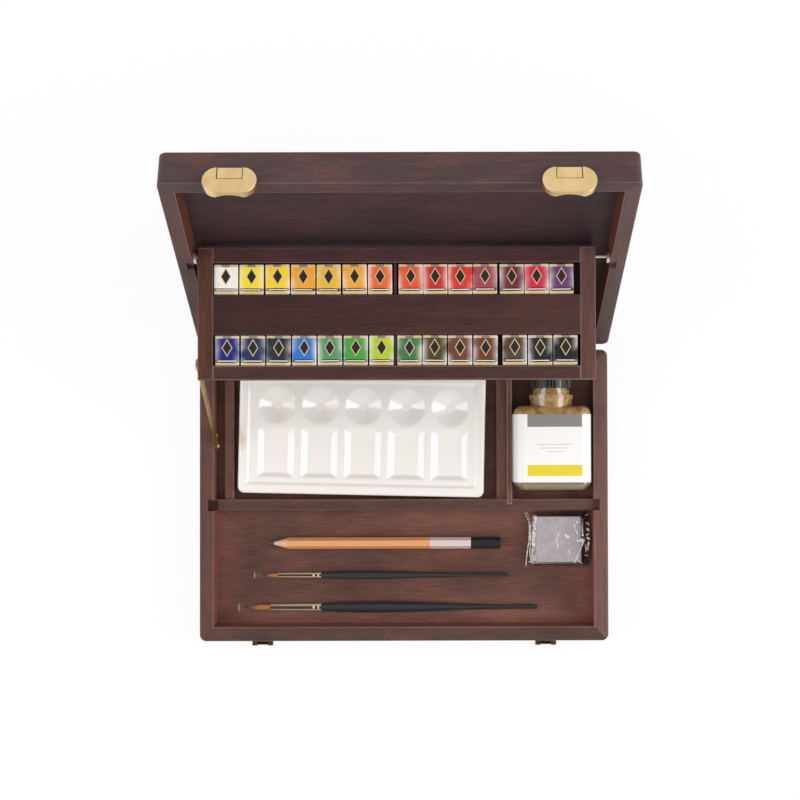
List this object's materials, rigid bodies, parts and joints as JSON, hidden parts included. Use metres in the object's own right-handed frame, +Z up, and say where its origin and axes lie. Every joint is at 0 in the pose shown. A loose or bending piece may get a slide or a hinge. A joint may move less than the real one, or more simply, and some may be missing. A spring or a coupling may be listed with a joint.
{
  "type": "watercolour paint box",
  "caption": "Hinged wooden watercolour box with a self-raising tray of half pans, brass catches, a palette, a bottle, an eraser, a pencil and brushes.",
  "frame": {"origin": "centre of the base's underside", "axes": "+X to the right, +Y from the catches to the hinges, +Z up"},
  "size_m": [0.3, 0.3319, 0.231],
  "materials": {
    "stained_wood": "satin",
    "wood_panel": "satin",
    "brass": "satin",
    "dark_brass": "satin",
    "steel": "satin",
    "pan_plastic": "satin",
    "paint": "matte",
    "label_paper": "satin",
    "white_glaze": "gloss",
    "bottle_glass": "gloss",
    "amber_medium": "gloss",
    "liner_plastic": "matte",
    "black_plastic": "satin",
    "eraser_putty": "matte",
    "clear_film": "gloss",
    "pencil_wood": "gloss",
    "graphite": "satin",
    "black_lacquer": "satin",
    "gold_ferrule": "gloss",
    "bristle": "satin",
    "clear_sleeve": "gloss"
  },
  "bodies": {
    "base": {"base_wall_front": "stained_wood", "base_wall_back": "stained_wood", "base_wall_left": "stained_wood", "base_wall_right": "stained_wood", "base_panel": "wood_panel", "long_divider": "stained_wood", "bottle_partition": "stained_wood", "palette_rail_left": "stained_wood", "palette_rail_right": "stained_wood", "catch_keepers": "dark_brass", "base_hinge_leaves": "brass", "hinge_pins": "brass", "base_screws": "brass", "arm_pivot_pin": "brass", "arm_spacer": "brass", "arm_stop_pin": "brass"},
    "lid": {"lid_wall_front": "stained_wood", "lid_wall_back": "stained_wood", "lid_wall_left": "stained_wood", "lid_wall_right": "stained_wood", "lid_panel": "wood_panel", "lid_hinge_leaves": "brass", "lid_screws": "brass", "catch_plates": "brass", "catch_pins": "steel", "tray_pivot_bushes": "steel"},
    "flap_left": {"catch_flap_left": "brass"},
    "flap_right": {"catch_flap_right": "brass"},
    "tray": {"tray_wall_front": "stained_wood", "tray_wall_back": "stained_wood", "tray_wall_left": "stained_wood", "tray_wall_right": "stained_wood", "tray_floor": "wood_panel", "tray_middle_board": "stained_wood", "tray_row_dividers": "stained_wood", "tray_pivot_rods": "steel", "arm_rivet": "brass", "pan_cups": "pan_plastic", "paint_cakes": "paint", "pan_wrappers": "label_paper"},
    "lift_arm": {"lift_arm": "brass"},
    "palette": {"palette": "white_glaze"},
    "bottle": {"bottle_glass": "bottle_glass", "bottle_liquid": "amber_medium", "bottle_label": "label_paper"},
    "cap_liner": {"cap_liner": "liner_plastic"},
    "bottle_cap": {"bottle_cap": "black_plastic"},
    "eraser": {"eraser_block": "eraser_putty", "eraser_film": "clear_film"},
    "pencil": {"pencil_barrel": "pencil_wood", "pencil_lead": "graphite"},
    "small_brush": {"small_brush_handle": "black_lacquer", "small_brush_ferrule": "gold_ferrule", "small_brush_tuft": "bristle"},
    "small_sleeve": {"small_brush_sleeve": "clear_sleeve"},
    "large_brush": {"large_brush_handle": "black_lacquer", "large_brush_ferrule": "gold_ferrule", "large_brush_tuft": "bristle"},
    "large_sleeve": {"large_brush_sleeve": "clear_sleeve"}
  },
  "joints": [
    {"name": "box_lid", "type": "hinge", "parent": "base", "child": "lid", "pos_m": [0, 0.1091, 0.0265], "axis": [-1, 0, 0], "range_deg": [-115, 0]},
    {"name": "tray_level", "type": "hinge", "parent": "lid", "child": "tray", "pos_m": [0, 0.16519, 0.12834], "axis": [-1, 0, 0], "range_deg": [0, 115]},
    {"name": "arm_swing", "type": "hinge", "parent": "base", "child": "lift_arm", "pos_m": [-0.138, 0.0367, 0.0198], "axis": [-1, 0, 0], "range_deg": [-115, 0]},
    {"name": "catch_flap_left_swing", "type": "hinge", "parent": "lid", "child": "flap_left", "pos_m": [-0.1042, 0.20751, 0.2217], "axis": [-1, 0, 0], "range_deg": [0, 70]},
    {"name": "catch_flap_right_swing", "type": "hinge", "parent": "lid", "child": "flap_right", "pos_m": [0.1042, 0.20751, 0.2217], "axis": [-1, 0, 0], "range_deg": [0, 70]},
    {"name": "bottle_cap_turn", "type": "hinge", "parent": "cap_liner", "child": "bottle_cap", "pos_m": [0.1087, 0.08, 0.02205], "axis": [0, 1, 0], "range_deg": [0, 360]},
    {"name": "cap_rise", "type": "slide", "parent": "bottle", "child": "cap_liner", "axis": [0, 1, 0], "range_m": [0, 0.003]},
    {"name": "lift_palette", "type": "slide", "parent": "base", "child": "palette", "axis": [0, 0, 1], "range_m": [0, 0.045]},
    {"name": "lift_bottle", "type": "slide", "parent": "base", "child": "bottle", "axis": [0, 0, 1], "range_m": [0, 0.045]},
    {"name": "lift_eraser", "type": "slide", "parent": "base", "child": "eraser", "axis": [0, 0, 1], "range_m": [0, 0.06]},
    {"name": "lift_pencil", "type": "slide", "parent": "base", "child": "pencil", "axis": [0, 0, 1], "range_m": [0, 0.06]},
    {"name": "lift_small_brush", "type": "slide", "parent": "base", "child": "small_brush", "axis": [0, 0, 1], "range_m": [0, 0.06]},
    {"name": "lift_large_brush", "type": "slide", "parent": "base", "child": "large_brush", "axis": [0, 0, 1], "range_m": [0, 0.06]},
    {"name": "pull_small_sleeve", "type": "slide", "parent": "small_brush", "child": "small_sleeve", "axis": [-1, 0, 0], "range_m": [0, 0.025]},
    {"name": "pull_large_sleeve", "type": "slide", "parent": "large_brush", "child": "large_sleeve", "axis": [-1, 0, 0], "range_m": [0, 0.014]}
  ],
  "couplings": [
    {"joint": "tray_level", "follows": "box_lid", "ratio": -1},
    {"joint": "arm_swing", "follows": "box_lid", "ratio": 1},
    {"joint": "cap_rise", "follows": "bottle_cap_turn", "m_per_rad": 0.00047746}
  ]
}
